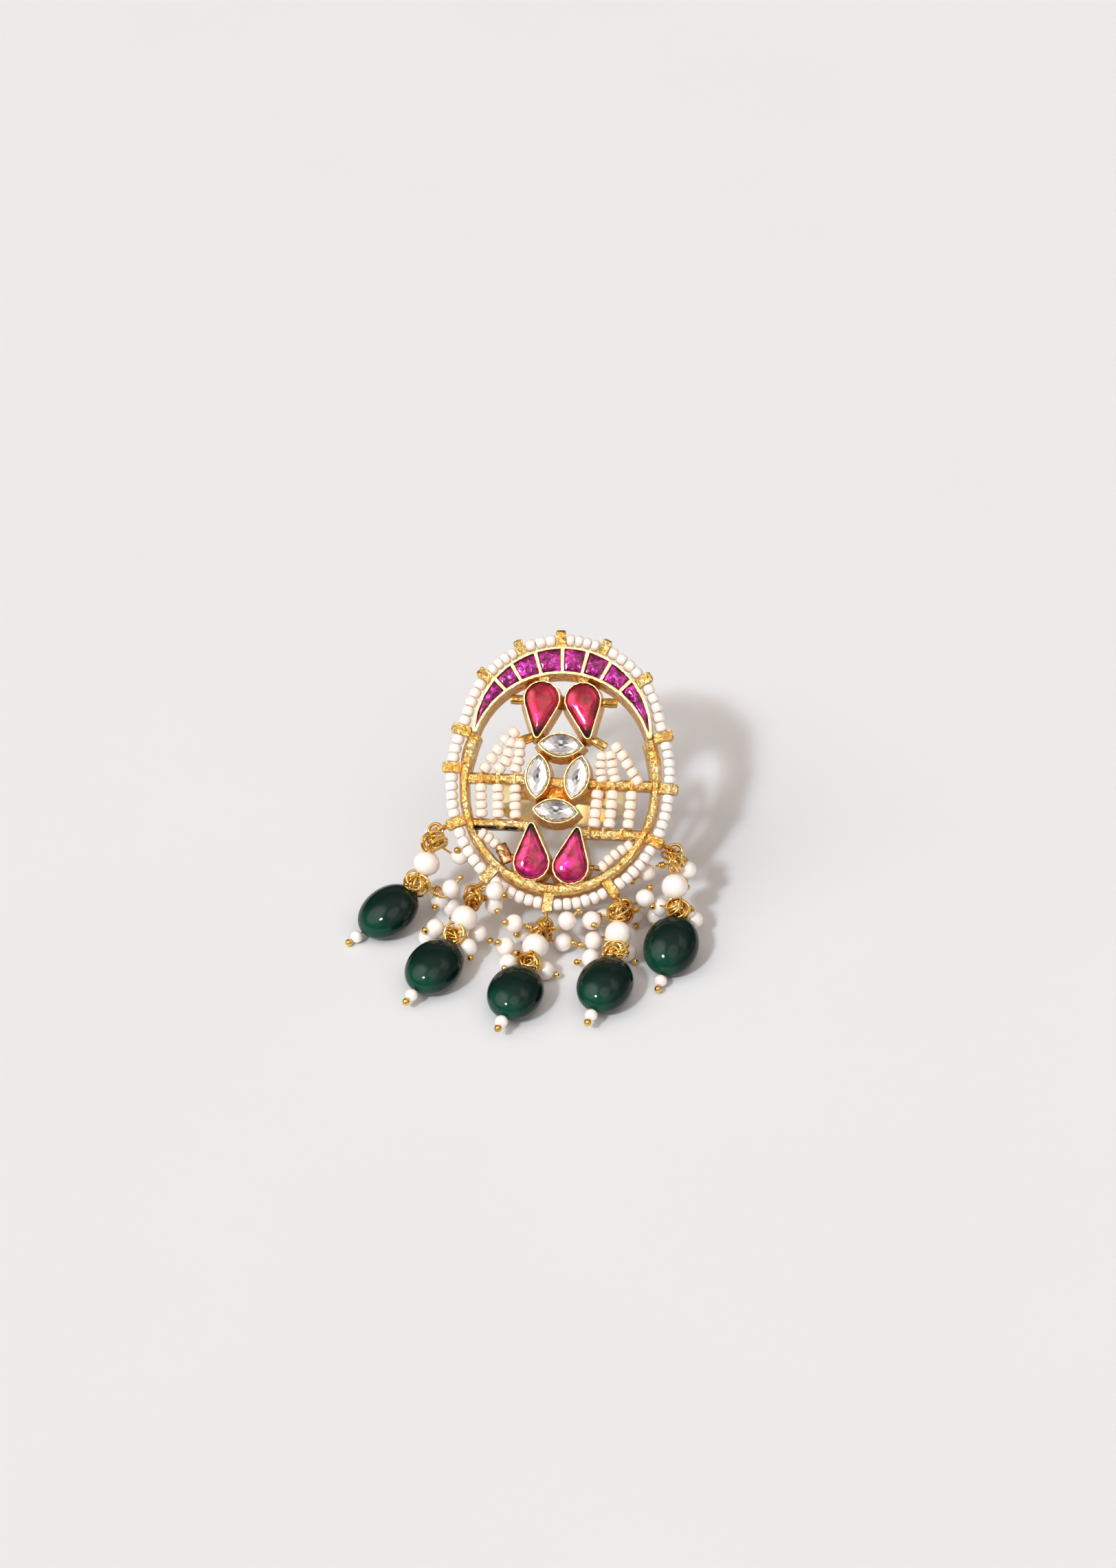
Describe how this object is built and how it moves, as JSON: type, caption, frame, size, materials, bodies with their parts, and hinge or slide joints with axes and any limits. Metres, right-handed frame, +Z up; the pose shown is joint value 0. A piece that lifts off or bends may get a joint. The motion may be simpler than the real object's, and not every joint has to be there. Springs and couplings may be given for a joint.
{
  "type": "statement ring",
  "caption": "Statement ring with a pierced oval gold head of set stones and seed-bead strings, fringed with small pearls and dark green oval beads.",
  "frame": {"origin": "middle of the footprint on the surface that the ring lies on", "axes": "+Z up; -Y towards the drops; +X to the right as the drops are faced"},
  "size_m": [0.0578, 0.0614, 0.0351],
  "materials": {
    "gold": "hammered yellow gold with polished setting rims",
    "crescent_stone": "foil-backed magenta stone, glossy",
    "pear_stone": "foil-backed crimson cabochon, glossy",
    "marquise_stone": "clear faceted stone over silver foil",
    "seed_bead": "cream seed pearls on thread",
    "green_bead": "polished dark green",
    "pearl": "pearl lustre",
    "end_bead": "white bead with a gold pin",
    "pearl_knot": "small pearls on gold wire rings"
  },
  "bodies": {
    "root": {"ring_frame": "gold", "crescent_stone_1": "crescent_stone", "crescent_stone_2": "crescent_stone", "crescent_stone_3": "crescent_stone", "crescent_stone_4": "crescent_stone", "crescent_stone_5": "crescent_stone", "crescent_stone_6": "crescent_stone", "crescent_stone_7": "crescent_stone", "crescent_stone_8": "crescent_stone", "pear_upper_left": "pear_stone", "pear_upper_right": "pear_stone", "pear_lower_left": "pear_stone", "pear_lower_right": "pear_stone", "marquise_top": "marquise_stone", "marquise_left": "marquise_stone", "marquise_right": "marquise_stone", "marquise_bottom": "marquise_stone", "bead_ring": "seed_bead", "fan_left": "seed_bead", "fan_right": "seed_bead", "short_string_left": "seed_bead", "short_string_right": "seed_bead", "string_left_1": "seed_bead", "string_left_2": "seed_bead", "string_left_3": "seed_bead", "string_right_1": "seed_bead", "string_right_2": "seed_bead", "string_right_3": "seed_bead", "drop_1_bead": "green_bead", "drop_1_pearl": "pearl", "drop_1_tip": "end_bead", "drop_1_knot_1": "pearl_knot", "drop_1_knot_2": "pearl_knot", "drop_2_bead": "green_bead", "drop_2_pearl": "pearl", "drop_2_tip": "end_bead", "drop_2_knot_1": "pearl_knot", "drop_2_knot_2": "pearl_knot", "drop_3_bead": "green_bead", "drop_3_pearl": "pearl", "drop_3_tip": "end_bead", "drop_3_knot_1": "pearl_knot", "drop_3_knot_2": "pearl_knot", "drop_4_bead": "green_bead", "drop_4_pearl": "pearl", "drop_4_tip": "end_bead", "drop_4_knot_1": "pearl_knot", "drop_4_knot_2": "pearl_knot", "drop_5_bead": "green_bead", "drop_5_pearl": "pearl", "drop_5_tip": "end_bead", "drop_5_knot_1": "pearl_knot", "drop_5_knot_2": "pearl_knot"}
  },
  "joints": []
}
